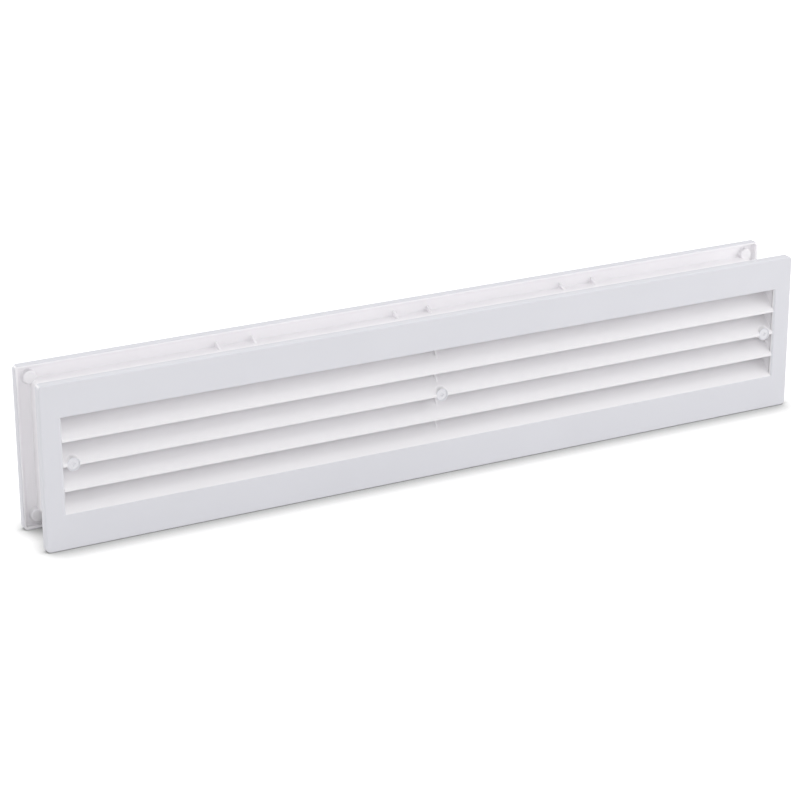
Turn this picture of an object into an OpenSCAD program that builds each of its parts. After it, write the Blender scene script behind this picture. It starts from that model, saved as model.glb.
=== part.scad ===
/* [Flanges] */
// Width of both flanges
flange_w = 455; // [430:1:480]
// Height of both flanges
flange_h = 90; // [86:1:110]
// Thickness of the face plate
plate_t = 2; // [1.6:0.1:2.4]
// Depth of the rim, from the show face to the edge that bears on the door
rim_depth = 5; // [4:0.5:7]
// Thickness of the rim
rim_t = 1.5; // [1.2:0.1:1.8]
// Radius of the flange's outer corners
corner_r = 2.5; // [2:0.5:4]
// Radius round the outer edge of the show face
edge_r = 1; // [0.6:0.1:1.4]
// Radius of the louvre opening's top and bottom edges
mouth_r = 0.4; // [0.3:0.1:0.8]
// Radius of the louvre opening's two end edges
mouth_end_r = 1.6; // [0.8:0.1:1.6]

/* [Louvre vanes] */
// Height from one vane lip to the next
vane_pitch = 13.3; // [12.5:0.1:14.5]
// Depth from the show face to the back of a vane
vane_depth = 14; // [12:0.5:15]
// Thickness of a vane
vane_t = 1.6; // [1.2:0.1:2]
// Slope of a vane at its lip, in degrees above level
lip_slope = 46; // [44:1:50]
// Slope of a vane at its back edge, in degrees above level
tail_slope = 34; // [30:1:38]
// How far the lips and screw bosses lie behind the show face
lip_inset = 0.3; // [0.2:0.1:0.6]
// How far a vane's flat lip reaches down below the vane's own sweep
lip_drop = 0.3; // [0.2:0.1:0.4]
// Radius of the two corners of a lip
lip_r = 0.3; // [0.2:0.05:0.35]

/* [Centre rib] */
// Thickness of the upright rib at mid width
rib_t = 1.2; // [1:0.1:2]
// Depth from the show face to the front of the rib
rib_start = 8; // [6:0.5:9]
// How far the rib's foot runs forward along the vane below
rib_toe = 3; // [1:0.5:4]
// Height of that foot where it meets the rib
rib_foot = 1.4; // [1:0.1:2]

/* [Collars] */
// Distance from the flange's outer edge in to the outer collar
overhang = 8.7; // [8.4:0.1:9.6]
// Wall of each collar
collar_t = 1.2; // [1:0.1:1.6]
// Gap between the two collars on each side
collar_gap = 0.3; // [0.2:0.05:0.5]
// Radius of the collar's outer corners
collar_r = 2; // [1.9:0.1:3]
// How far the front collar still reaches into the rear one with the thickest door
collar_overlap = 6.8; // [5:0.1:8]

/* [Fit to the door] */
// Thinnest door: the gap between the two rims when closed
door_min = 28.6; // [26:0.2:36]
// How far the rear half draws out for a thicker door
door_travel = 15; // [8:0.5:15]
// Gap left between the ends of the two halves when closed
end_gap = 0.4; // [0.3:0.1:0.8]

/* [Screws] */
// Distance from the end of the opening to the outer screws
screw_inset = 5.4; // [4.6:0.1:8]
// Height of the screw axes above the lip of the middle vane
screw_rise = 0.6; // [0.4:0.1:2]
// Outer diameter of the screw bosses and posts
boss_d = 7.2; // [7:0.1:8]
// Length of the front screw bosses
boss_len = 9.7; // [8:0.1:9.7]
// Diameter of the screw head
head_d = 5.6; // [5.2:0.1:5.8]
// Height of the screw head
head_h = 2; // [1.6:0.1:2.4]
// How deep the head sits below the face of its boss
head_sink = 0.2; // [0.2:0.1:0.8]
// Diameter of the screw's shank
shank_d = 3; // [2.6:0.1:3.2]
// Length of the screw's point
point_len = 2.5; // [2:0.5:4]
// Width of the arms of the cross recess
cross_w = 0.8; // [0.6:0.1:1]
// Length across the cross recess
cross_l = 3; // [2.6:0.1:3.4]
// Depth of the cross recess
cross_d = 0.8; // [0.6:0.1:1.4]
// Solid end of a rear post, behind the screw's bore
post_end = 1.2; // [1:0.1:2]

/* [Bosses and gussets] */
// Diameter of the corner bosses
corner_d = 7.2; // [6:0.1:7.2]
// Distance from the front flange's outer edges in to a corner boss's axis
front_corner_inset = 5.5; // [5.5:0.1:5.8]
// Distance from the rear flange's ends in to a corner boss's axis
rear_corner_x = 8; // [7:0.1:8.2]
// Distance from the rear flange's top and bottom edges in to a corner boss's axis
rear_corner_z = 7.2; // [6.6:0.1:7.5]
// Thickness of a gusset
gusset_t = 1.4; // [1:0.1:2]
// Height of a gusset up the flange plate
gusset_h = 3; // [2:0.2:5]
// Length of a gusset along the collar
gusset_l = 5.5; // [3:0.5:12]
// Distance between the two gussets of a pair
gusset_pair = 20.6; // [16:0.2:30]
// Distance from the middle pair of gussets to the outer pairs
gusset_step = 105.3; // [80:0.1:130]

/* [Hidden] */

$fn = 48;
white = "white";
vane_count = 4;
cut = 1;                      // how far a cutter runs past the face that it cuts
head_gap = 0.2;               // gap between a screw head and the wall of its seat
seat_gap = 0.15;              // gap under a screw head
shank_clearance = 0.4;        // gap round the shank in a front boss
thread_gap = 0.05;            // gap round the shank in a rear post
tip_gap = 0.6;                // gap ahead of the screw's point

// The origin is under the middle of the door gap, on the surface that the flanges stand on.
// Each half is drawn in its own frame: x to the right, y inwards from its show face, z from mid height.
depth = door_min + 2 * rim_depth;
mid_z = flange_h / 2;
half_t = vane_t / 2;

// The lowest vane's lip closes the opening, so the plate comes up to the middle of that lip
opening_top = vane_count * vane_pitch / 2;
opening_low = half_t - opening_top;

// Half widths and half heights of the two collars, from the outside inwards
outer_x = flange_w / 2 - overhang;
outer_z = flange_h / 2 - overhang;
shell = collar_t + collar_gap;
inner_x = outer_x - shell;
inner_z = outer_z - shell;

// The front half's vanes end on the inner collar, the rear half's on the outer one
front_open_x = inner_x - collar_t;
rear_open_x = outer_x - collar_t;
front_rib_z = inner_z - collar_t;
rear_rib_z = outer_z - collar_t;

// The collars and posts stop just short of what faces them when the vent is closed
rear_collar_len = depth - 2 * plate_t - end_gap;
front_collar_len = min(end_gap + door_travel + collar_overlap, depth - plate_t - vane_depth - end_gap);
post_len = depth - vane_depth - end_gap;

screw_x = front_open_x - screw_inset;
head_top = lip_inset + head_sink;
head_seat = head_top + head_h;
bore_end = depth - lip_inset - post_end;
screw_tip = bore_end - tip_gap;

// A vane's section is an arc of even thickness, steeper at its flat lip than at its back edge
vane_run = vane_depth - lip_inset - half_t - half_t * sin(tail_slope);
vane_r = vane_run / (sin(lip_slope) - sin(tail_slope));
arc_y = lip_inset + half_t + vane_r * sin(lip_slope);
arc_z = half_t - vane_r * cos(lip_slope);
vane_steps = 6;
corner_steps = 3;
mouth_step = 22.5;
rib_end = vane_depth - vane_t * sin(tail_slope);

function vane_arc(r, a) = [arc_y - r * sin(a), arc_z + r * cos(a)];
function vane_slope(k) = lip_slope + (tail_slope - lip_slope) * k / vane_steps;
function vane_top(y) = arc_z + sqrt(pow(vane_r + half_t, 2) - pow(arc_y - y, 2));
function unit(v) = v / norm(v);

// Points round a corner of radius r between two other points
function round_corner(before, corner, after, r) =
    let (
        u = unit(before - corner),
        w = unit(after - corner),
        half = acos(u * w) / 2,
        centre = corner + unit(u + w) * r / sin(half),
        from = corner + u * r / tan(half) - centre,
        to = corner + w * r / tan(half) - centre
    )
    [for (k = [0 : corner_steps]) centre + r * unit(from + (to - from) * k / corner_steps)];

// The lip's corners: the vane's two faces run on to its flat underside and its upright front
lip_under = vane_arc(vane_r - half_t, lip_slope);
lip_over = vane_arc(vane_r + half_t, lip_slope);
lip_heel = [lip_under[0] - (lip_under[1] + lip_drop) / tan(lip_slope), -lip_drop];
lip_toe = [lip_inset, -lip_drop];
lip_crown = [lip_inset, lip_over[1] - (lip_over[0] - lip_inset) * tan(lip_slope)];

vane_section = concat(
    [lip_heel],
    round_corner(lip_heel, lip_toe, lip_crown, lip_r),
    round_corner(lip_toe, lip_crown, lip_over, lip_r),
    [for (k = [0 : vane_steps]) vane_arc(vane_r + half_t, vane_slope(k))],
    [for (k = [vane_steps : -1 : 0]) vane_arc(vane_r - half_t, vane_slope(k))]
);

// The rib's foot starts a little way inside the vane that it stands on
foot_bite = 0.4;
foot_start = rib_start - rib_toe;
foot_section = [
    [foot_start, vane_top(foot_start) - foot_bite],
    [rib_start, vane_top(rib_start) - half_t],
    [rib_start, vane_top(rib_start) + rib_foot]
];

// How far a rounded edge of radius r opens beyond the opening, at a depth behind the show face
function edge_grow(r, y) = y < r ? r - sqrt(r * r - (r - y) * (r - y)) : 0;
function mouth_depth(a) = mouth_end_r * (1 - cos(a));

function lip_z(i) = opening_top - i * vane_pitch;

module front_half() {
    translate([0, -depth / 2, mid_z]) children();
}

module rear_half() {
    translate([0, depth / 2, mid_z]) mirror([0, 1, 0]) children();
}

// Extrudes a flat outline from y = 0 inwards
module inwards(len) {
    translate([0, len, 0]) rotate([90, 0, 0]) linear_extrude(len) children();
}

module rod(d, from, to) {
    translate([0, from, 0]) rotate([-90, 0, 0]) cylinder(d = d, h = to - from);
}

module round_rect(half_x, half_z, r) {
    square([2 * half_x, 2 * (half_z - r)], center = true);
    square([2 * (half_x - r), 2 * half_z], center = true);
    for (sx = [-1, 1], sz = [-1, 1]) {
        translate([sx * (half_x - r), sz * (half_z - r)]) circle(r);
    }
}

// One corner of the flange block, with the show face's edge rounded
module flange_corner() {
    rotate([-90, 0, 0])
        rotate_extrude($fn = 32)
            polygon(concat(
                [[0, rim_depth], [0, 0]],
                [for (a = [0 : 22.5 : 90]) [corner_r - edge_r * (1 - sin(a)), edge_r * (1 - cos(a))]],
                [[corner_r, rim_depth]]
            ));
}

module flange_block() {
    hull() {
        for (sx = [-1, 1], sz = [-1, 1]) {
            translate([sx * (flange_w / 2 - corner_r), 0, sz * (flange_h / 2 - corner_r)]) flange_corner();
        }
    }
}

// The corners of the rounded mouth at a depth behind the show face
function mouth_ring(half_x, y) =
    let (
        x = half_x + edge_grow(mouth_end_r, y),
        low = opening_low - edge_grow(mouth_r, y),
        top = opening_top + edge_grow(mouth_r, y)
    )
    [[-x, y, low], [x, y, low], [x, y, top], [-x, y, top]];

// One slice of the rounded mouth, between two angles of its end edges
module mouth_slice(half_x, a0, a1) {
    points = concat(mouth_ring(half_x, mouth_depth(a0)), mouth_ring(half_x, mouth_depth(a1)));
    polyhedron(points, [
        [3, 2, 1, 0], [4, 5, 6, 7], [1, 5, 4, 0], [2, 6, 5, 1], [3, 7, 6, 2], [0, 4, 7, 3]
    ]);
}

module flange(half_x) {
    difference() {
        flange_block();
        translate([0, plate_t, 0])
            inwards(rim_depth)
                round_rect(flange_w / 2 - rim_t, flange_h / 2 - rim_t, corner_r - rim_t);
        translate([-half_x, -cut, opening_low])
            cube([2 * half_x, plate_t + 2 * cut, opening_top - opening_low]);
        for (a = [0 : mouth_step : 90 - mouth_step]) mouth_slice(half_x, a, a + mouth_step);
        vane_blade(vane_count, half_x);
    }
}

// A collar's top and bottom walls run its full width
module collar_long_walls(half_x, half_z, len) {
    translate([0, plate_t, 0])
        inwards(len)
            difference() {
                round_rect(half_x, half_z, collar_r);
                square([2 * half_x, 2 * (half_z - collar_t)], center = true);
            }
}

// Its two end walls stand between them
module collar_end_walls(half_x, half_z, len) {
    translate([0, plate_t, 0])
        inwards(len)
            difference() {
                intersection() {
                    round_rect(half_x, half_z, collar_r);
                    square([2 * half_x, 2 * (half_z - collar_t)], center = true);
                }
                square([2 * (half_x - collar_t), 2 * half_z], center = true);
            }
}

module vane_blade(i, half_x) {
    translate([-half_x, 0, lip_z(i)])
        rotate([90, 0, 90])
            linear_extrude(2 * half_x) polygon(vane_section);
}

// The places of the three screws, in the frame of either half
module at_screw(side) {
    translate([side * screw_x, 0, screw_rise]) children();
}

module vane(i, half_x, boss_to) {
    difference() {
        vane_blade(i, half_x);
        for (side = [-1, 0, 1]) at_screw(side) rod(boss_d, 0, boss_to);
    }
}

module centre_rib(half_z) {
    difference() {
        translate([-rib_t / 2, 0, 0])
            rotate([90, 0, 90])
                linear_extrude(rib_t) {
                    translate([rib_start, -half_z]) square([rib_end - rib_start, 2 * half_z]);
                    for (i = [1 : vane_count]) translate([0, lip_z(i)]) polygon(foot_section);
                }
        for (i = [1 : vane_count]) vane_blade(i, rib_t);
        at_screw(0) rod(boss_d, 0, vane_depth);
    }
}

module corner_bosses(inset_x, inset_z) {
    for (sx = [-1, 1], sz = [-1, 1]) {
        translate([sx * (flange_w / 2 - inset_x), 0, sz * (flange_h / 2 - inset_z)])
            rod(corner_d, plate_t, rim_depth);
    }
}

module front_boss(side) {
    color(white)
        front_half()
            at_screw(side)
                difference() {
                    rod(boss_d, lip_inset, boss_len);
                    rod(head_d + 2 * head_gap, lip_inset - cut, head_seat + seat_gap);
                    rod(shank_d + 2 * shank_clearance, 0, boss_len + cut);
                }
}

module rear_post(side) {
    color(white)
        rear_half()
            at_screw(side)
                difference() {
                    rod(boss_d, lip_inset, post_len);
                    rod(shank_d + 2 * thread_gap, depth - bore_end, post_len + cut);
                }
}

module gussets(up) {
    for (pair = [-1 : 1], side = [-1, 1]) {
        translate([pair * gusset_step + side * gusset_pair / 2 - gusset_t / 2, plate_t, up * outer_z])
            rotate([90, 0, 90])
                linear_extrude(gusset_t)
                    polygon([[0, 0], [gusset_l, 0], [0, up * gusset_h]]);
    }
}

// A pan-head screw: domed head, plain shank and point, in profile from the axis outwards
module screw(side) {
    dome = 0.2 * head_h;
    color(white)
        front_half()
            at_screw(side)
                difference() {
                    rotate([-90, 0, 0])
                        rotate_extrude()
                            polygon([
                                [0, head_top],
                                [0.3 * head_d, head_top + 0.2 * dome],
                                [0.42 * head_d, head_top + 0.5 * dome],
                                [head_d / 2, head_top + dome],
                                [head_d / 2, head_seat],
                                [shank_d / 2, head_seat],
                                [shank_d / 2, screw_tip - point_len],
                                [0, screw_tip]
                            ]);
                    for (turn = [0, 90]) {
                        rotate([0, turn, 0])
                            translate([-cross_l / 2, head_top - cut, -cross_w / 2])
                                cube([cross_l, cut + cross_d, cross_w]);
                    }
                }
}

module front_flange() {
    color(white) front_half() flange(front_open_x);
}

module front_collar_long_walls() {
    color(white) front_half() collar_long_walls(inner_x, inner_z, front_collar_len);
}

module front_collar_end_walls() {
    color(white) front_half() collar_end_walls(inner_x, inner_z, front_collar_len);
}

module front_vane(i) {
    color(white) front_half() vane(i, front_open_x, boss_len);
}

module front_centre_rib() {
    color(white) front_half() centre_rib(front_rib_z);
}

module front_corner_bosses() {
    color(white) front_half() corner_bosses(front_corner_inset, front_corner_inset);
}

module rear_flange() {
    color(white) rear_half() flange(rear_open_x);
}

module rear_collar_long_walls() {
    color(white) rear_half() collar_long_walls(outer_x, outer_z, rear_collar_len);
}

module rear_collar_end_walls() {
    color(white) rear_half() collar_end_walls(outer_x, outer_z, rear_collar_len);
}

module rear_vane(i) {
    color(white) rear_half() vane(i, rear_open_x, post_len);
}

module rear_centre_rib() {
    color(white) rear_half() centre_rib(rear_rib_z);
}

module rear_corner_bosses() {
    color(white)
        rear_half()
            difference() {
                corner_bosses(rear_corner_x, rear_corner_z);
                inwards(rim_depth + cut) round_rect(outer_x, outer_z, collar_r);
            }
}

module rear_top_gussets() {
    color(white) rear_half() gussets(1);
}

module rear_bottom_gussets() {
    color(white) rear_half() gussets(-1);
}

front_flange();
front_collar_long_walls();
front_collar_end_walls();
front_vane(1);  // front_vane_1
front_vane(2);  // front_vane_2
front_vane(3);  // front_vane_3
front_vane(4);  // front_vane_4
front_centre_rib();
front_boss(-1);  // front_boss_left
front_boss(0);  // front_boss_centre
front_boss(1);  // front_boss_right
front_corner_bosses();
rear_flange();
rear_collar_long_walls();
rear_collar_end_walls();
rear_vane(1);  // rear_vane_1
rear_vane(2);  // rear_vane_2
rear_vane(3);  // rear_vane_3
rear_vane(4);  // rear_vane_4
rear_centre_rib();
rear_post(-1);  // rear_post_left
rear_post(0);  // rear_post_centre
rear_post(1);  // rear_post_right
rear_corner_bosses();
rear_top_gussets();
rear_bottom_gussets();
screw(-1);  // screw_left
screw(0);  // screw_centre
screw(1);  // screw_right
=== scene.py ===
"""A white plastic door vent grille on a pale floor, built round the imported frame.

Sizes are in millimetres until to_part() or MM turns them into metres. Angles are in degrees.
"""

import math

import bmesh
import bpy
from mathutils import Matrix, Vector


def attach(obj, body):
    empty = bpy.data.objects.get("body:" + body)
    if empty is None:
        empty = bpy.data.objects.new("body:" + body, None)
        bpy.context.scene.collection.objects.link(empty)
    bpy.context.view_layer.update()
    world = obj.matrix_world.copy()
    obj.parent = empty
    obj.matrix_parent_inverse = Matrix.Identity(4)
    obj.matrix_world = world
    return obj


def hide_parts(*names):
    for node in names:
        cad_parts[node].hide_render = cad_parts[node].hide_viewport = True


MM = 0.001

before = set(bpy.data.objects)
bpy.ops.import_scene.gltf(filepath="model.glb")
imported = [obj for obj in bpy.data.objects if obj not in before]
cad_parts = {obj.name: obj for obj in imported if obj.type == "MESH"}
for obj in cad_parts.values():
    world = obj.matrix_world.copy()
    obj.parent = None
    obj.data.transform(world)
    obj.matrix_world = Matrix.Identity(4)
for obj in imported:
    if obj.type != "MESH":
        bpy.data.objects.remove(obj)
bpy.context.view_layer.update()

# The camera, fitted to the photograph's perspective
CAMERA_PLACE = Vector((-617.7, -1143.7, 521.2)) * MM
CAMERA_TURN = -27.76      # to the side of straight ahead
CAMERA_TILT = 20.45       # down
CAMERA_ROLL = -0.23
CAMERA_LENS = 114.5
SENSOR_WIDTH = 36

# The part's sizes, as the CAD has them
FLANGE_W, FLANGE_H = 455.0, 90.0
DEPTH = 38.6              # from one show face to the other, closed
PLATE_T = 2.0
RIM_DEPTH, RIM_T = 5.0, 1.5
CORNER_R, EDGE_R = 2.5, 1.0
MOUTH_R, MOUTH_END_R = 0.4, 1.6
VANE_PITCH, VANE_DEPTH, VANE_T = 13.3, 14.0, 1.6
LIP_SLOPE, TAIL_SLOPE = 46.0, 34.0
LIP_INSET = 0.3
LIP_R, LIP_DROP = 0.3, 0.3    # the lip's rounded corners, and how far it reaches below the vane's base line
RIB_T, RIB_START, RIB_TOE, RIB_FOOT = 1.2, 8.0, 3.0, 1.4
OVERHANG = 8.7
COLLAR_T, COLLAR_GAP, COLLAR_R = 1.2, 0.3, 2.0
FRONT_COLLAR_LEN = 22.2
END_GAP = 0.4
SCREW_INSET, SCREW_RISE = 5.4, 0.6
BOSS_D, BOSS_LEN, BOSS_FILLET = 7.2, 9.7, 0.9
HEAD_D, HEAD_H, HEAD_SINK = 5.6, 2.0, 0.2
HEAD_GAP, SEAT_GAP = 0.2, 0.15
SHANK_D, SHANK_CLEARANCE, THREAD_GAP = 3.0, 0.4, 0.05
POINT_LEN, POST_END, TIP_GAP = 2.5, 1.2, 0.6
CROSS_W, CROSS_L, CROSS_D = 0.8, 3.0, 0.4
CORNER_BOSS_D = 7.2
FRONT_CORNER_INSET = 5.5
REAR_CORNER_X, REAR_CORNER_Z = 8.0, 7.2
GUSSET_T, GUSSET_H, GUSSET_L = 1.4, 3.0, 5.5
GUSSET_PAIR, GUSSET_STEP = 20.6, 105.3
VANE_COUNT = 4

HALF_T = VANE_T / 2
OPENING_TOP = VANE_COUNT * VANE_PITCH / 2
OPENING_LOW = HALF_T - OPENING_TOP
OUTER_X, OUTER_Z = FLANGE_W / 2 - OVERHANG, FLANGE_H / 2 - OVERHANG
INNER_X, INNER_Z = OUTER_X - COLLAR_T - COLLAR_GAP, OUTER_Z - COLLAR_T - COLLAR_GAP
FRONT_OPEN_X, REAR_OPEN_X = INNER_X - COLLAR_T, OUTER_X - COLLAR_T
REAR_COLLAR_LEN = DEPTH - 2 * PLATE_T - END_GAP
POST_LEN = DEPTH - VANE_DEPTH - END_GAP
SCREW_X = FRONT_OPEN_X - SCREW_INSET
HEAD_TOP = LIP_INSET + HEAD_SINK
HEAD_SEAT = HEAD_TOP + HEAD_H
BORE_END = DEPTH - LIP_INSET - POST_END
SCREW_TIP = BORE_END - TIP_GAP

# What the moulds leave: small radii, and how far pieces reach into what they grow out of
FILLET = 0.5              # where a wall grows out of the plate
ROUND = 0.25              # free edges
TIGHT_R = 0.3             # the tightest corner of a ring
MOUTH_DEPTHS = (1.6, 1.2, 0.8, 0.55, 0.4, 0.3, 0.2, 0.12, 0.05, 0.0)
SUNK = 0.3                # vanes in the collar, and gussets and corner bosses in the plate
COLLAR_SUNK = 0.4         # collars in the plate
COLLAR_INNER_R = 0.4
RIB_SUNK, RIB_ROUND = 0.4, 0.2
BOSS_SUNK = 0.25          # vanes, ribs and fillets in a boss
BOSS_VANES = (2, 3)       # the vanes that the bosses cross
CUT_AHEAD = 1             # how far in front of a face its cutter begins
BOSS_ROUND, POST_ROUND = 0.35, 0.4
SEAT_LEAD, BORE_LEAD = 0.1, 0.3
FILLET_LEAST = 0.03
FILLET_SHARE, FILLET_SPARE = 0.5, 0.15    # what the fillet leaves of the wall in front of it
STUD_ROUND, STUD_FOOT = 0.8, 0.8
GUSSET_NOSE, GUSSET_ROUND = 0.12, 0.1

# The screws' turned shapes
HEAD_SWELL = 0.16         # how far the head is wider than its nominal size
HEAD_EDGE = 0.1
DOME = 0.1 * HEAD_H
DOME_SPREAD, DOME_POWER = 0.9, 1.15
CROSS_MOUTH_L, CROSS_MOUTH_W = CROSS_L / 2 + 0.1, CROSS_W / 2 + 0.05
CROSS_FLOOR_L, CROSS_FLOOR_W = CROSS_L / 2 - 0.5, CROSS_W / 2 - 0.1
THREAD_PITCH, THREAD_ROOT = 1.4, 2.3
THREAD_RIDGE = 0.28       # half of a ridge's foot, as a share of the pitch
THREAD_SUNK = 0.2         # how far the thread reaches into the head
POINT_POWER = 0.8

# Mesh density, in segments
CORNER_STEPS = 8          # round each corner of a ring
EDGE_STEPS = 7            # the show plate's outer edge
ROUND_STEPS = 3           # free edges, and the fillet inside the rim
END_STEPS = 4             # the feet of collars and corner bosses, the lips of front bosses and the ends of posts
TOP_STEPS = 5             # the tops of corner bosses, and of posts on the show side
LIP_STEPS = 5
VANE_STEPS = 14           # along a vane's arc
FILLET_STEPS = 6          # across the fillet on top of a boss
FILLET_SPAN = (44, 32, 148)   # and along it, with its first and last angle
LATHE_STEPS = 56
HEAD_STEPS = 58           # not a multiple of 8, so no facet's edge runs into a corner of the cross
CROWN_STEPS = 12
STUD_STEPS = 40
THREAD_ROWS = 8           # along one pitch
THREAD_STEPS = 24         # round the thread

SHARP = 38                # edges that turn by more than this stay sharp
SCREW_SHARP = 50


def sin(degrees):
    return math.sin(math.radians(degrees))


def cos(degrees):
    return math.cos(math.radians(degrees))


# A vane's section is an arc, steeper at its lip than at its back edge
VANE_R = (VANE_DEPTH - LIP_INSET - HALF_T - HALF_T * sin(TAIL_SLOPE)) / (sin(LIP_SLOPE) - sin(TAIL_SLOPE))
ARC_Y = LIP_INSET + HALF_T + VANE_R * sin(LIP_SLOPE)
ARC_Z = HALF_T - VANE_R * cos(LIP_SLOPE)


def to_part(half, point):
    """From a half's own frame (x right, y inwards from the show face, z from mid height) to the part's."""
    x, y, z = point
    y = y - DEPTH / 2 if half == "front" else DEPTH / 2 - y
    return Vector((x, y, z + FLANGE_H / 2)) * MM


def shade(bm, sharp):
    """Smooth shading that breaks only at real edges."""
    for face in bm.faces:
        face.smooth = True
    for edge in bm.edges:
        edge.smooth = edge.calc_face_angle(0.0) < math.radians(sharp)


def finish_mesh(name, bm):
    """Makes the object."""
    bmesh.ops.remove_doubles(bm, verts=bm.verts, dist=1e-7)
    bmesh.ops.recalc_face_normals(bm, faces=bm.faces)
    shade(bm, SHARP)
    mesh = bpy.data.meshes.new(name)
    bm.to_mesh(mesh)
    bm.free()
    piece = bpy.data.objects.new(name, mesh)
    bpy.context.scene.collection.objects.link(piece)
    return piece


def weight_normals(piece):
    modifier = piece.modifiers.new("even_normals", "WEIGHTED_NORMAL")
    modifier.keep_sharp = True
    modifier.weight = 90


def finish_piece(name, bm):
    piece = finish_mesh(name, bm)
    weight_normals(piece)
    return piece


def bridge(bm, row, after):
    """Quads between two closed rows of as many points."""
    count = len(row)
    return [bm.faces.new((row[k], row[(k + 1) % count], after[(k + 1) % count], after[k])) for k in range(count)]


def add_rings(bm, half, rings):
    """Joins each ring to the next, and the last to the first."""
    rows = [[bm.verts.new(to_part(half, p)) for p in points] for points in rings]
    for row, after in zip(rows, rows[1:] + rows[:1]):
        bridge(bm, row, after)


def add_bar(bm, half, sections):
    """Joins each section to the next, and closes both ends."""
    rows = [[bm.verts.new(to_part(half, p)) for p in points] for points in sections]
    made = [bm.faces.new(list(reversed(rows[0]))), bm.faces.new(rows[-1])]
    for row, after in zip(rows, rows[1:]):
        made += bridge(bm, row, after)
    return made


def ring(half_x, low, top, radius, y):
    """A closed ring of points round a rounded rectangle, at depth y."""
    points = []
    for sx, sz, start in ((1, 1, 0), (-1, 1, 90), (-1, -1, 180), (1, -1, 270)):
        cx, cz = sx * (half_x - radius), (top - radius if sz > 0 else low + radius)
        for k in range(CORNER_STEPS + 1):
            a = start + 90 * k / CORNER_STEPS
            points.append((cx + radius * cos(a), y, cz + radius * sin(a)))
    return points


def arc(steps, start=0.0, end=90.0):
    return [start + (end - start) * k / steps for k in range(steps + 1)]


def edge_grow(radius, y):
    """How far a rounded edge has drawn back at a depth."""
    return radius - math.sqrt(radius * radius - (radius - y) ** 2) if y < radius else 0.0


def make_flange(name, half, open_x):
    """The show plate with its rounded outer edge, the rim behind it and the rounded louvre opening."""
    def outer(inset, y):
        half_z = FLANGE_H / 2 - inset
        return ring(FLANGE_W / 2 - inset, -half_z, half_z, max(CORNER_R - inset, TIGHT_R), y)

    def mouth(y):
        grow_x, grow_z = edge_grow(MOUTH_END_R, y), edge_grow(MOUTH_R, y)
        return ring(open_x + grow_x, OPENING_LOW - grow_z, OPENING_TOP + grow_z, TIGHT_R, y)

    rings = [outer(EDGE_R * (1 - sin(a)), EDGE_R * (1 - cos(a))) for a in arc(EDGE_STEPS)]
    rings += [outer(ROUND * (1 - cos(a)), RIM_DEPTH - ROUND * (1 - sin(a))) for a in arc(ROUND_STEPS)]
    rings += [outer(RIM_T - ROUND * (1 - sin(a)), RIM_DEPTH - ROUND * (1 - cos(a))) for a in arc(ROUND_STEPS)]
    rings += [outer(RIM_T + FILLET * (1 - cos(a)), PLATE_T + FILLET * (1 - sin(a))) for a in arc(ROUND_STEPS)]
    rings += [mouth(y) for y in (PLATE_T,) + MOUTH_DEPTHS]
    bm = bmesh.new()
    add_rings(bm, half, rings)
    return finish_piece(name, bm)


def make_collar(name, half, half_x, half_z, length):
    """The sleeve that runs through the door, with a small fillet where it grows out of the plate."""
    sunk, end = PLATE_T - COLLAR_SUNK, PLATE_T + length

    def wall(out, y, radius):
        return ring(half_x + out, -half_z - out, half_z + out, radius, y)

    rings = [wall(FILLET, sunk, COLLAR_R + FILLET)]
    for a in arc(END_STEPS):
        out = FILLET * (1 - sin(a))
        rings.append(wall(out, PLATE_T + FILLET * (1 - cos(a)), COLLAR_R + out))
    for a in arc(ROUND_STEPS):
        inset = ROUND * (1 - cos(a))
        rings.append(wall(-inset, end - ROUND * (1 - sin(a)), COLLAR_R - inset))
    for a in arc(ROUND_STEPS):
        out = ROUND * (1 - sin(a))
        rings.append(wall(out - COLLAR_T, end - ROUND * (1 - cos(a)), COLLAR_INNER_R + out))
    rings.append(wall(-COLLAR_T, sunk, COLLAR_INNER_R))
    bm = bmesh.new()
    add_rings(bm, half, rings)
    return finish_piece(name, bm)


def rounded(before, corner, after, radius, steps=LIP_STEPS):
    """Points of an arc that rounds the corner between two straight edges."""
    corner, before, after = Vector(corner), Vector(before), Vector(after)
    u, v = (before - corner).normalized(), (after - corner).normalized()
    half = u.angle(v) / 2
    centre = corner + (u + v).normalized() * radius / math.sin(half)
    start = corner + u * radius / math.tan(half) - centre
    end = corner + v * radius / math.tan(half) - centre
    turn = start.angle(end)
    points = []
    for k in range(steps + 1):
        t = k / steps
        spoke = (start * math.sin((1 - t) * turn) + end * math.sin(t * turn)) / math.sin(turn)
        points.append(tuple(centre + spoke))
    return points


def vane_section():
    """The vane's outline in depth and height, from the underside of its rounded lip round to its back edge."""
    def on_arc(radius, slope):
        return (ARC_Y - radius * sin(slope), ARC_Z + radius * cos(slope))

    run = math.tan(math.radians(LIP_SLOPE))
    under_y, under_z = on_arc(VANE_R - HALF_T, LIP_SLOPE)
    over_y, over_z = on_arc(VANE_R + HALF_T, LIP_SLOPE)
    heel = (under_y - (under_z + LIP_DROP) / run, -LIP_DROP)
    toe = (LIP_INSET, -LIP_DROP)
    crown = (LIP_INSET, over_z - (over_y - LIP_INSET) * run)
    points = [(under_y, under_z), heel]
    points += rounded(heel, toe, crown, LIP_R)
    points += rounded(toe, crown, (over_y, over_z), LIP_R)
    slopes = arc(VANE_STEPS, LIP_SLOPE, TAIL_SLOPE)[1:]
    points += [on_arc(VANE_R + HALF_T, s) for s in slopes]
    points += [on_arc(VANE_R - HALF_T, s) for s in reversed(slopes)]
    return points


def vane_top(y):
    """Height of a vane's upper side above its base line, at a depth behind the show face."""
    radius = VANE_R + HALF_T
    return ARC_Z + math.sqrt(radius * radius - (ARC_Y - y) ** 2)


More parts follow.
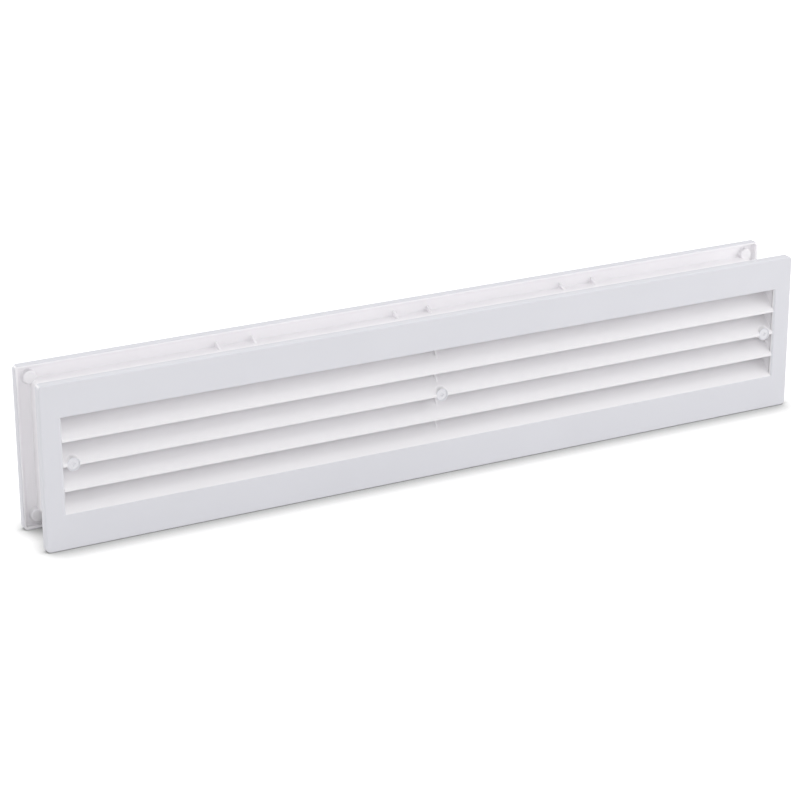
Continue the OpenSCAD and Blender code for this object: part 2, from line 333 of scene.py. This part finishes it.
def vane_front(z):
    """Depth of a vane's upper side behind the show face, at a height above its base line."""
    radius = VANE_R + HALF_T
    return ARC_Y - math.sqrt(radius * radius - (z - ARC_Z) ** 2)


def lip_z(index):
    return OPENING_TOP - index * VANE_PITCH


def drill(piece, cutters):
    """Cuts the cutters out of the piece, and removes them."""
    for cutter in cutters:
        modifier = piece.modifiers.new("bore", "BOOLEAN")
        modifier.object = cutter
        modifier.operation = "DIFFERENCE"
        modifier.solver = "EXACT"
    depsgraph = bpy.context.evaluated_depsgraph_get()
    mesh = bpy.data.meshes.new_from_object(piece.evaluated_get(depsgraph))
    piece.modifiers.clear()
    piece.data = mesh
    for cutter in cutters:
        bpy.data.objects.remove(cutter)
    bm = bmesh.new()
    bm.from_mesh(mesh)
    shade(bm, SHARP)
    bm.to_mesh(mesh)
    bm.free()


def add_lathe(bm, half, x, z, profile, steps=LATHE_STEPS):
    """Turns a closed profile of (radius, depth) points about an axis. A radius of 0 is a single point."""
    rows = []
    for radius, y in profile:
        turns = [360 * k / steps for k in range(steps)] if radius else [0]
        rows.append([bm.verts.new(to_part(half, (x + radius * cos(a), y, z + radius * sin(a)))) for a in turns])
    for row, after in zip(rows, rows[1:] + rows[:1]):
        if len(row) == len(after) == 1:
            continue
        if len(row) == 1:
            for k in range(steps):
                bm.faces.new((row[0], after[(k + 1) % steps], after[k]))
        elif len(after) == 1:
            for k in range(steps):
                bm.faces.new((row[k], row[(k + 1) % steps], after[0]))
        else:
            bridge(bm, row, after)


def lathe(name, half, x, z, profile, steps=LATHE_STEPS):
    bm = bmesh.new()
    add_lathe(bm, half, x, z, profile, steps)
    return finish_mesh(name, bm)


def boss_cutter(half, side, end):
    """A rod through the middle of a boss's wall, which the vanes and ribs stop at."""
    radius = BOSS_D / 2 - BOSS_SUNK
    profile = [(0, -CUT_AHEAD), (radius, -CUT_AHEAD), (radius, end), (0, end)]
    return lathe("cutter", half, side * SCREW_X, SCREW_RISE, profile)


def make_vane(name, half, index, open_x, boss_end):
    """A curved slat with a rounded lip, sunk a little into the sleeve's end walls."""
    reach = open_x + SUNK
    section = vane_section()
    bm = bmesh.new()
    add_bar(bm, half, [[(x, y, z + lip_z(index)) for y, z in section] for x in (-reach, reach)])
    piece = finish_mesh(name, bm)
    if index in BOSS_VANES:
        drill(piece, [boss_cutter(half, side, boss_end) for side in (-1, 0, 1)])
    weight_normals(piece)
    return piece


def make_rib(name, half, half_z, boss_end):
    """The upright web behind the lips. Its front edge has a foot on each vane."""
    rib_end = VANE_DEPTH - VANE_T * sin(TAIL_SLOPE)
    toe = RIB_START - RIB_TOE
    outline = [(rib_end, -half_z), (RIB_START, -half_z)]
    for index in range(VANE_COUNT, 0, -1):
        base = lip_z(index)
        outline += [(RIB_START, base + vane_top(RIB_START) - HALF_T), (toe, base + vane_top(toe) - RIB_SUNK),
                    (RIB_START, base + vane_top(RIB_START) + RIB_FOOT)]
    outline += [(RIB_START, half_z), (rib_end, half_z)]
    bm = bmesh.new()
    add_bar(bm, half, [[(x, y, z) for y, z in outline] for x in (-RIB_T / 2, RIB_T / 2)])
    piece = finish_mesh(name, bm)
    drill(piece, [boss_cutter(half, 0, boss_end)])
    bevel = piece.modifiers.new("rounded_edges", "BEVEL")
    bevel.width = RIB_ROUND * MM
    bevel.segments = 2
    bevel.limit_method = "ANGLE"
    weight_normals(piece)
    return piece


def add_boss_fillet(bm, half, x):
    """The small fillet round the top of a boss, where it stands in front of the vane that carries it."""
    radius = BOSS_D / 2
    sections = []
    for a in arc(*FILLET_SPAN):
        wall_y = vane_front(SCREW_RISE + radius * sin(a))
        width = max(FILLET_LEAST, min(BOSS_FILLET, FILLET_SHARE * (wall_y - LIP_INSET) - FILLET_SPARE))
        foot = Vector((radius + width, vane_front(SCREW_RISE + (radius + width) * sin(a))))
        corner, top = Vector((radius, wall_y)), Vector((radius, wall_y - width))
        section = [Vector((radius - BOSS_SUNK, wall_y - width))]
        for k in range(FILLET_STEPS + 1):
            t = k / FILLET_STEPS
            section.append(top * (1 - t) ** 2 + corner * 2 * t * (1 - t) + foot * t * t)
        section += [foot + Vector((0, BOSS_SUNK)), Vector((radius - BOSS_SUNK, wall_y + BOSS_SUNK))]
        sections.append([(x + r * cos(a), y, SCREW_RISE + r * sin(a)) for r, y in section])
    add_bar(bm, half, sections)


def make_boss(name, half, side, profile):
    """A boss turned from its profile, with its fillet."""
    bm = bmesh.new()
    add_lathe(bm, half, side * SCREW_X, SCREW_RISE, profile)
    add_boss_fillet(bm, half, side * SCREW_X)
    return finish_piece(name, bm)


def make_front_boss(name, side):
    """A screw boss: its head's seat, the shank's bore, and rounded free edges."""
    outer, seat, bore = BOSS_D / 2, HEAD_D / 2 + HEAD_GAP, SHANK_D / 2 + SHANK_CLEARANCE
    seat_y, r = HEAD_SEAT + SEAT_GAP, BOSS_ROUND
    profile = [(outer - r * (1 - sin(a)), LIP_INSET + r * (1 - cos(a))) for a in arc(END_STEPS)]
    profile += [(outer - r * (1 - cos(a)), BOSS_LEN - r * (1 - sin(a))) for a in arc(ROUND_STEPS)]
    profile += [(bore, BOSS_LEN), (bore, seat_y), (seat, seat_y), (seat, LIP_INSET + SEAT_LEAD),
                (seat + SEAT_LEAD, LIP_INSET)]
    return make_boss(name, "front", side, profile)


def make_rear_post(name, side):
    """A closed post that the screw bites into."""
    outer, bore, r = BOSS_D / 2, SHANK_D / 2 + THREAD_GAP, POST_ROUND
    profile = [(0, LIP_INSET)]
    profile += [(outer - r * (1 - sin(a)), LIP_INSET + r * (1 - cos(a))) for a in arc(TOP_STEPS)]
    profile += [(outer - r * (1 - cos(a)), POST_LEN - r * (1 - sin(a))) for a in arc(END_STEPS)]
    profile += [(bore + BORE_LEAD, POST_LEN), (bore, POST_LEN - BORE_LEAD), (bore, DEPTH - BORE_END),
                (0, DEPTH - BORE_END)]
    return make_boss(name, "rear", side, profile)


def make_corner_bosses(name, half, inset_x, inset_z):
    """Four short round bosses inside the corners of the rim."""
    outer, sunk = CORNER_BOSS_D / 2, PLATE_T - SUNK
    profile = [(0, RIM_DEPTH)]
    profile += [(outer - STUD_ROUND * (1 - sin(a)), RIM_DEPTH - STUD_ROUND * (1 - cos(a))) for a in arc(TOP_STEPS)]
    profile += [(outer + STUD_FOOT * (1 - cos(a)), PLATE_T + STUD_FOOT * (1 - sin(a))) for a in arc(END_STEPS)]
    profile += [(outer + STUD_FOOT, sunk), (0, sunk)]
    bm = bmesh.new()
    for sx in (-1, 1):
        for sz in (-1, 1):
            x, z = sx * (FLANGE_W / 2 - inset_x), sz * (FLANGE_H / 2 - inset_z)
            add_lathe(bm, half, x, z, profile, STUD_STEPS)
    return finish_piece(name, bm)


def make_gussets(name, up):
    """Three pairs of small triangular webs between the rear plate and its sleeve."""
    outline = [(PLATE_T - SUNK, -SUNK), (PLATE_T + GUSSET_L, -SUNK), (PLATE_T + GUSSET_L, GUSSET_NOSE),
               (PLATE_T + GUSSET_NOSE, GUSSET_H), (PLATE_T - SUNK, GUSSET_H)]
    bm = bmesh.new()
    for pair in (-1, 0, 1):
        for side in (-1, 1):
            middle = pair * GUSSET_STEP + side * GUSSET_PAIR / 2
            made = add_bar(bm, "rear", [[(x, y, up * (OUTER_Z + z)) for y, z in outline]
                                        for x in (middle - GUSSET_T / 2, middle + GUSSET_T / 2)])
            bmesh.ops.recalc_face_normals(bm, faces=made)
            edges = list(set(edge for face in made for edge in face.edges))
            bmesh.ops.bevel(bm, geom=edges, offset=GUSSET_ROUND * MM, segments=2, profile=0.5, affect="EDGES")
    return finish_piece(name, bm)


def thread_radius(y, turn, start, end):
    """The thread's radius at a depth and a share of a turn. It runs in from the head and tapers to its point."""
    root = THREAD_ROOT / 2
    phase = (y / THREAD_PITCH - turn) % 1.0
    ridge = max(0.0, 1.0 - abs(phase - 0.5) / THREAD_RIDGE)
    run_in = min(1.0, (y - start) / THREAD_PITCH)
    radius = root + (SHANK_D / 2 - root) * ridge * run_in
    if y > end - POINT_LEN:
        radius *= max(0.0, (end - y) / POINT_LEN) ** POINT_POWER
    return radius


def add_thread(bm, x, z, start, end):
    """A helical thread from start to end."""
    count = round((end - start) / THREAD_PITCH * THREAD_ROWS)
    rows = []
    for i in range(count):
        y = start + (end - start) * i / count
        row = []
        for k in range(THREAD_STEPS):
            radius, a = thread_radius(y, k / THREAD_STEPS, start, end), 360 * k / THREAD_STEPS
            row.append(bm.verts.new(to_part("front", (x + radius * cos(a), y, z + radius * sin(a)))))
        rows.append(row)
    tip = bm.verts.new(to_part("front", (x, end, z)))
    for row, after in zip(rows, rows[1:]):
        bridge(bm, row, after)
    for k in range(THREAD_STEPS):
        bm.faces.new((rows[-1][k], rows[-1][(k + 1) % THREAD_STEPS], tip))
    bm.faces.new(list(reversed(rows[0])))


def cross_cutter(x, z):
    """The shape of the tapered cross recess."""
    sections = []
    for y, length, width in ((HEAD_TOP - CUT_AHEAD, CROSS_MOUTH_L, CROSS_MOUTH_W),
                             (HEAD_TOP + CROSS_D, CROSS_FLOOR_L, CROSS_FLOOR_W)):
        arm = ((width, width), (width, length), (-width, length))
        sections.append([(x + u * cos(t) - v * sin(t), y, z + u * sin(t) + v * cos(t))
                         for t in (0, 90, 180, 270) for u, v in arm])
    bm = bmesh.new()
    add_bar(bm, "front", sections)
    return finish_mesh("cutter", bm)


def make_screw(name, side):
    """A pan head with a tapered cross recess, on a threaded shank."""
    x, z = side * SCREW_X, SCREW_RISE
    head_r = HEAD_D / 2 + HEAD_SWELL
    profile = [(0, HEAD_TOP)]
    profile += [(head_r * sin(a) ** DOME_SPREAD, HEAD_TOP + DOME * (1 - cos(a)) ** DOME_POWER)
                for a in arc(CROWN_STEPS)[1:]]
    profile += [(head_r, HEAD_SEAT - HEAD_EDGE), (head_r - HEAD_EDGE, HEAD_SEAT), (THREAD_ROOT / 2, HEAD_SEAT),
                (0, HEAD_SEAT)]
    screw = lathe(name, "front", x, z, profile, HEAD_STEPS)
    drill(screw, [cross_cutter(x, z)])
    bm = bmesh.new()
    bm.from_mesh(screw.data)
    add_thread(bm, x, z, HEAD_SEAT - THREAD_SUNK, SCREW_TIP)
    bmesh.ops.recalc_face_normals(bm, faces=bm.faces)
    shade(bm, SCREW_SHARP)
    bm.to_mesh(screw.data)
    bm.free()
    return screw


def new_material(name):
    material = bpy.data.materials.new(name)
    material.use_nodes = True
    return material, material.node_tree.nodes, material.node_tree.links


def noise(nodes, links, vector, scale, detail=2.0, roughness=0.5):
    node = nodes.new("ShaderNodeTexNoise")
    node.inputs["Scale"].default_value = scale
    node.inputs["Detail"].default_value = detail
    node.inputs["Roughness"].default_value = roughness
    links.new(vector, node.inputs["Vector"])
    return node.outputs["Fac"]


def remap(nodes, links, value, low, high, from_low=0.3, from_high=0.7):
    """Spreads a value, by default a noise, over the range from low to high."""
    node = nodes.new("ShaderNodeMapRange")
    node.inputs["From Min"].default_value = from_low
    node.inputs["From Max"].default_value = from_high
    node.inputs["To Min"].default_value = low
    node.inputs["To Max"].default_value = high
    links.new(value, node.inputs["Value"])
    return node.outputs["Result"]


def math_node(nodes, links, operation, a, b=0.0):
    node = nodes.new("ShaderNodeMath")
    node.operation = operation
    for socket, value in zip(node.inputs, (a, b)):
        if isinstance(value, (int, float)):
            socket.default_value = value
        else:
            links.new(value, socket)
    return node.outputs[0]


def mix(nodes, links, kind, factor, a, b):
    """A Mix node between two values or two colours."""
    node = nodes.new("ShaderNodeMix")
    node.data_type = kind
    links.new(factor, node.inputs["Factor"])
    first, second = [s for s in node.inputs if s.enabled and s.name in ("A", "B")]
    for socket, value in ((first, a), (second, b)):
        if hasattr(value, "links"):
            links.new(value, socket)
        else:
            socket.default_value = value
    return [s for s in node.outputs if s.enabled][0]


def fill_shader(nodes, links, ior, colour, rough, relief, relief_strength):
    """Feeds the surface's shader, with the relief as a fine bump."""
    shader = nodes["Principled BSDF"]
    shader.inputs["IOR"].default_value = ior
    bump = nodes.new("ShaderNodeBump")
    bump.inputs["Strength"].default_value = relief_strength
    bump.inputs["Distance"].default_value = RELIEF_DEPTH
    links.new(relief, bump.inputs["Height"])
    links.new(colour, shader.inputs["Base Color"])
    links.new(rough, shader.inputs["Roughness"])
    links.new(bump.outputs["Normal"], shader.inputs["Normal"])


# Colours of the white moulding, as the photograph shows them: lit and shaded copies of one plastic, each in two close
# tones
# Painted shade: the show face is a darker, cooler copy of the plastic, in two close tones that vary at random
SHOW_FACE_SHADED_WHITE = (0.698, 0.699, 0.740, 1)
SHOW_FACE_SHADED_PALE = (0.713, 0.714, 0.755, 1)
# The smooth middle tone, between the show face's painted shade and the inner sides' painted light
SMOOTH_WHITE = (0.848, 0.836, 0.858, 1)
SMOOTH_LIGHT = (0.864, 0.852, 0.874, 1)
# Painted light: the inner sides are a lighter copy of the plastic, in two close tones that vary at random
INNER_LIT_WHITE = (0.908, 0.895, 0.916, 1)
INNER_LIT_PALE = (0.924, 0.911, 0.932, 1)
SCREW_WHITE = (0.78, 0.778, 0.812, 1)
SCREW_DULL = (0.745, 0.743, 0.778, 1)

PLASTIC_IOR, PAINT_IOR = 1.47, 1.5
RELIEF_DEPTH = 0.02 * MM
PLASTIC_RELIEF, PAINT_RELIEF = 0.5, 0.4
CLOUD_SCALE = 22                      # of the slow changes of tone
FLOW_SCALE = (14, 160, 160)           # streaks along the moulding, where the plastic flowed
FINE_SCALE, GRAIN_SCALE = 900, 2600   # of the smooth sides, and of the eroded show face
SMOOTH_ROUGH, SHOW_ROUGH, PAINT_ROUGH = (0.34, 0.44), (0.5, 0.62), (0.3, 0.42)
FINE_SHARE, FLOW_SHARE, SHOW_FLOW_SHARE = 0.35, 0.65, 0.5
PAINT_WEAR_SCALE, PAINT_ROUGH_SCALE, PAINT_RELIEF_SCALE = 900, 2500, 1500
PAINT_WEAR = (0.42, 0.62)             # the range of the noise in which the paint goes dull

# Where the eroded texture and the show face's painted shade start: axis, middle and half size, and how far inside the
# outline it fades in
SHOW_SIDES = (
    ("Y", 0, DEPTH / 2, 1.0, 0.4),
    ("X", 0, FLANGE_W / 2, 0.6, 0.3),
    ("Z", FLANGE_H / 2, FLANGE_H / 2, 0.6, 0.3),
)


def show_mask(nodes, links, place):
    """1 on the show face and round the flange's outside, 0 on the inner side."""
    separate = nodes.new("ShaderNodeSeparateXYZ")
    links.new(place, separate.inputs[0])
    mask = 0
    for axis, middle, half, start, full in SHOW_SIDES:
        offset = math_node(nodes, links, "SUBTRACT", separate.outputs[axis], middle * MM)
        reach = math_node(nodes, links, "ABSOLUTE", offset)
        near = remap(nodes, links, reach, 0, 1, (half - start) * MM, (half - full) * MM)
        mask = math_node(nodes, links, "MAXIMUM", near, mask)
    return mask


def plastic(name, textured_shaded_face, white, light):
    """Moulded plastic in two close tones, with a fine eroded texture and a darker, cooler painted shade on the show
    face where it has one.
    """
    material, nodes, links = new_material(name)
    place = nodes.new("ShaderNodeTexCoord").outputs["Object"]
    clouds = remap(nodes, links, noise(nodes, links, place, CLOUD_SCALE, detail=3), 0, 1)
    flow_space = nodes.new("ShaderNodeMapping")
    flow_space.inputs["Scale"].default_value = FLOW_SCALE
    links.new(place, flow_space.inputs["Vector"])
    flow = noise(nodes, links, flow_space.outputs["Vector"], 1.0, detail=3)
    fine = noise(nodes, links, place, FINE_SCALE)
    colour = mix(nodes, links, "RGBA", clouds, white, light)
    rough = remap(nodes, links, flow, *SMOOTH_ROUGH)
    relief = math_node(nodes, links, "ADD", math_node(nodes, links, "MULTIPLY", fine, FINE_SHARE),
                       math_node(nodes, links, "MULTIPLY", flow, FLOW_SHARE))
    if textured_shaded_face:
        grain = noise(nodes, links, place, GRAIN_SCALE, detail=3, roughness=0.6)
        # The show face's darker, cooler tone is painted shade, in two close tones that vary at random
        shaded_show_colour = mix(nodes, links, "RGBA", clouds, SHOW_FACE_SHADED_WHITE, SHOW_FACE_SHADED_PALE)
        show_rough = remap(nodes, links, grain, *SHOW_ROUGH)
        show_relief = math_node(nodes, links, "ADD", grain,
                                math_node(nodes, links, "MULTIPLY", flow, SHOW_FLOW_SHARE))
        face = show_mask(nodes, links, place)
        colour = mix(nodes, links, "RGBA", face, colour, shaded_show_colour)
        rough = mix(nodes, links, "FLOAT", face, rough, show_rough)
        relief = mix(nodes, links, "FLOAT", face, relief, show_relief)
    fill_shader(nodes, links, PLASTIC_IOR, colour, rough, relief, PLASTIC_RELIEF)
    return material


def screw_paint(name):
    """White paint over a steel screw, rubbed duller in places."""
    material, nodes, links = new_material(name)
    place = nodes.new("ShaderNodeTexCoord").outputs["Object"]
    wear = noise(nodes, links, place, PAINT_WEAR_SCALE, detail=4, roughness=0.6)
    rubbed = remap(nodes, links, wear, 0, 1, *PAINT_WEAR)
    colour = mix(nodes, links, "RGBA", rubbed, SCREW_WHITE, SCREW_DULL)
    rough = remap(nodes, links, noise(nodes, links, place, PAINT_ROUGH_SCALE), *PAINT_ROUGH)
    relief = noise(nodes, links, place, PAINT_RELIEF_SCALE)
    fill_shader(nodes, links, PAINT_IOR, colour, rough, relief, PAINT_RELIEF)
    return material


def seen_directly(nodes, links):
    """1 for camera, glossy and transmission rays, 0 for the rays that light the object."""
    path = nodes.new("ShaderNodeLightPath")
    seen = math_node(nodes, links, "MAXIMUM", path.outputs["Is Camera Ray"], path.outputs["Is Glossy Ray"])
    return math_node(nodes, links, "MAXIMUM", seen, path.outputs["Is Transmission Ray"])


def show_by_ray(nodes, links, lighting, seen, output):
    """One shader for the rays that light the object, and another for what is seen."""
    choice = nodes.new("ShaderNodeMixShader")
    links.new(seen_directly(nodes, links), choice.inputs[0])
    links.new(lighting.outputs[0], choice.inputs[1])
    links.new(seen.outputs[0], choice.inputs[2])
    links.new(choice.outputs[0], nodes[output].inputs["Surface"])


FLOOR_REACH = 6                       # metres from its middle
FLOOR_LIGHT = (0.8, 0.8, 0.8, 1)      # what the floor throws back onto the object
FLOOR_GLOW = 0.78                     # white that the camera sees everywhere, dimmed near the object by the painted contact shadow
FLOOR_SEEN = 0.5                      # and the lit part of it, which carries the wide shadow
PAINTED_SHADOW_REACH = 18 * MM               # how far the painted contact shadow along the object's foot spreads
PAINTED_SHADOW_DEPTH = 1.3                   # and how deep it is


def make_floor():
    mesh = bpy.data.meshes.new("floor")
    bm = bmesh.new()
    bmesh.ops.create_grid(bm, x_segments=8, y_segments=8, size=FLOOR_REACH)
    bm.to_mesh(mesh)
    bm.free()
    floor = bpy.data.objects.new("floor", mesh)
    bpy.context.scene.collection.objects.link(floor)
    material, nodes, links = new_material("floor")
    nodes.remove(nodes["Principled BSDF"])
    lit = nodes.new("ShaderNodeBsdfDiffuse")
    lit.inputs["Color"].default_value = FLOOR_LIGHT
    # Painted shadow: ambient occlusion darkens the floor that the camera sees near the object's foot
    painted_contact_shadow = nodes.new("ShaderNodeAmbientOcclusion")
    painted_contact_shadow.inputs["Distance"].default_value = PAINTED_SHADOW_REACH
    open_sky = math_node(nodes, links, "POWER", painted_contact_shadow.outputs["AO"], PAINTED_SHADOW_DEPTH)
    shown = nodes.new("ShaderNodeBsdfDiffuse")
    links.new(math_node(nodes, links, "MULTIPLY", open_sky, FLOOR_SEEN), shown.inputs["Color"])
    glow = nodes.new("ShaderNodeEmission")
    links.new(math_node(nodes, links, "MULTIPLY", open_sky, FLOOR_GLOW), glow.inputs["Strength"])
    both = nodes.new("ShaderNodeAddShader")
    links.new(shown.outputs[0], both.inputs[0])
    links.new(glow.outputs[0], both.inputs[1])
    show_by_ray(nodes, links, lit, both, "Material Output")
    floor.data.materials.append(material)


WHITE = (1, 1, 1, 1)
WORLD_LIGHT = 0.4


def make_world():
    world = bpy.data.worlds.new("world")
    world.use_nodes = True
    nodes, links = world.node_tree.nodes, world.node_tree.links
    ambient, white = nodes["Background"], nodes.new("ShaderNodeBackground")
    for background, strength in ((ambient, WORLD_LIGHT), (white, 1)):
        background.inputs["Color"].default_value = WHITE
        background.inputs["Strength"].default_value = strength
    show_by_ray(nodes, links, ambient, white, "World Output")
    bpy.context.scene.world = world


LIGHT_TARGET = (0, 0, 0.05)

# White soft boxes: name, place and size in metres, and watts
LIGHTS = (
    ("top", (0, -0.3, 1.5), (1.6, 1.2), 4.0),
    ("front", (-0.6, -1.9, 0.8), (1.6, 1.2), 9.3),
    ("left", (-1.6, -0.5, 0.7), (1.2, 1.0), 3.1),
    ("left_side", (-1.8, 0.1, 0.5), (1.2, 0.8), 2.8),
    ("right", (1.6, -0.7, 0.8), (1.2, 1.0), 7.8),
    ("right_low", (1.5, -1.3, 0.42), (1.4, 0.7), 7.5),
    ("top_back", (0, 0.7, 1.4), (1.6, 1.0), 6.5),
    ("back", (-0.9, 1.7, 0.7), (1.4, 1.0), 6.0),
)


def make_lights():
    for name, place, size, power in LIGHTS:
        data = bpy.data.lights.new(name, "AREA")
        data.shape = "RECTANGLE"
        data.size, data.size_y = size
        data.energy = power
        light = bpy.data.objects.new(name, data)
        light.location = place
        light.rotation_euler = (Vector(LIGHT_TARGET) - Vector(place)).to_track_quat("-Z", "Y").to_euler()
        bpy.context.scene.collection.objects.link(light)


def make_camera():
    data = bpy.data.cameras.new("camera")
    data.lens = CAMERA_LENS
    data.sensor_width = SENSOR_WIDTH
    turn, tilt, roll = (math.radians(a) for a in (CAMERA_TURN, CAMERA_TILT, CAMERA_ROLL))
    back = Vector((math.sin(turn) * math.cos(tilt), -math.cos(turn) * math.cos(tilt), math.sin(tilt)))
    level = Vector((math.cos(turn), math.sin(turn), 0))
    right = math.cos(roll) * level + math.sin(roll) * back.cross(level)
    up = back.cross(right)
    camera = bpy.data.objects.new("camera", data)
    camera.matrix_world = Matrix.Translation(CAMERA_PLACE) @ Matrix((right, up, back)).transposed().to_4x4()
    bpy.context.scene.collection.objects.link(camera)
    bpy.context.scene.camera = camera


def dress(piece, material, slot, body, *nodes):
    """Puts a finished piece in the place of one CAD node or several."""
    piece.data.materials.clear()
    piece.data.materials.append(material)
    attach(piece, body)
    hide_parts(*nodes)


def mould(piece, material, half, *parts):
    """A piece of a half's moulding. Its nodes are named after the half."""
    dress(piece, material, "white_plastic", half + "_half", *(half + "_" + part for part in parts))


make_camera()
make_floor()
make_world()
make_lights()

# Lit and shaded copies of one white plastic: the flange material gives the show face painted shade and its inner side
# painted light, the inner material is painted light, and the smooth material is the middle tone
flange_shaded_face_lit_back = plastic("white_plastic_shaded_face_lit_back", True, INNER_LIT_WHITE, INNER_LIT_PALE)
inner_lit_plastic = plastic("white_plastic_inner_painted_light", False, INNER_LIT_WHITE, INNER_LIT_PALE)
plain_plastic = plastic("white_plastic_smooth", False, SMOOTH_WHITE, SMOOTH_LIGHT)
paint = screw_paint("white_screw_paint")

# Each half: its name, half its opening's width, its collar's half width, half height and length, how deep
# its bosses reach, and how far its corner bosses stand in from the flange's edges
HALVES = (
    ("front", FRONT_OPEN_X, (INNER_X, INNER_Z, FRONT_COLLAR_LEN), BOSS_LEN, (FRONT_CORNER_INSET, FRONT_CORNER_INSET)),
    ("rear", REAR_OPEN_X, (OUTER_X, OUTER_Z, REAR_COLLAR_LEN), POST_LEN, (REAR_CORNER_X, REAR_CORNER_Z)),
)

for half, open_x, collar_size, boss_end, corner_inset in HALVES:
    # The flange's show face carries painted shade, the plate's inner side painted light
    mould(make_flange(half + "_flange_moulding", half, open_x), flange_shaded_face_lit_back, half, "flange")
    collar = make_collar(half + "_collar_sleeve", half, *collar_size)
    # The sleeve's lighter tone is painted light
    mould(collar, inner_lit_plastic, half, "collar_long_walls", "collar_end_walls")
    for index in range(1, VANE_COUNT + 1):
        vane = make_vane(f"{half}_vane_{index}_slat", half, index, open_x, boss_end)
        mould(vane, plain_plastic, half, f"vane_{index}")
    rib = make_rib(half + "_rib_web", half, collar_size[1] - COLLAR_T, boss_end)
    mould(rib, plain_plastic, half, "centre_rib")
    # The corner studs take the smooth middle tone, darker than the inner sides' painted light
    mould(make_corner_bosses(half + "_corner_studs", half, *corner_inset), plain_plastic, half, "corner_bosses")

# The webs take the inner sides' painted light
mould(make_gussets("rear_top_webs", 1), inner_lit_plastic, "rear", "top_gussets")
mould(make_gussets("rear_bottom_webs", -1), inner_lit_plastic, "rear", "bottom_gussets")

for side, place in ((-1, "left"), (0, "centre"), (1, "right")):
    # The bosses' fronts take the show face's painted shade, and their sides the inner sides' painted light
    mould(make_front_boss(f"front_boss_{place}_sleeve", side), flange_shaded_face_lit_back, "front", "boss_" + place)
    mould(make_rear_post(f"rear_post_{place}_sleeve", side), flange_shaded_face_lit_back, "rear", "post_" + place)
    dress(make_screw(f"screw_{place}_painted", side), paint, "white_screw", f"screw_{place}_body", "screw_" + place)

bpy.context.scene.view_settings.view_transform = "Standard"
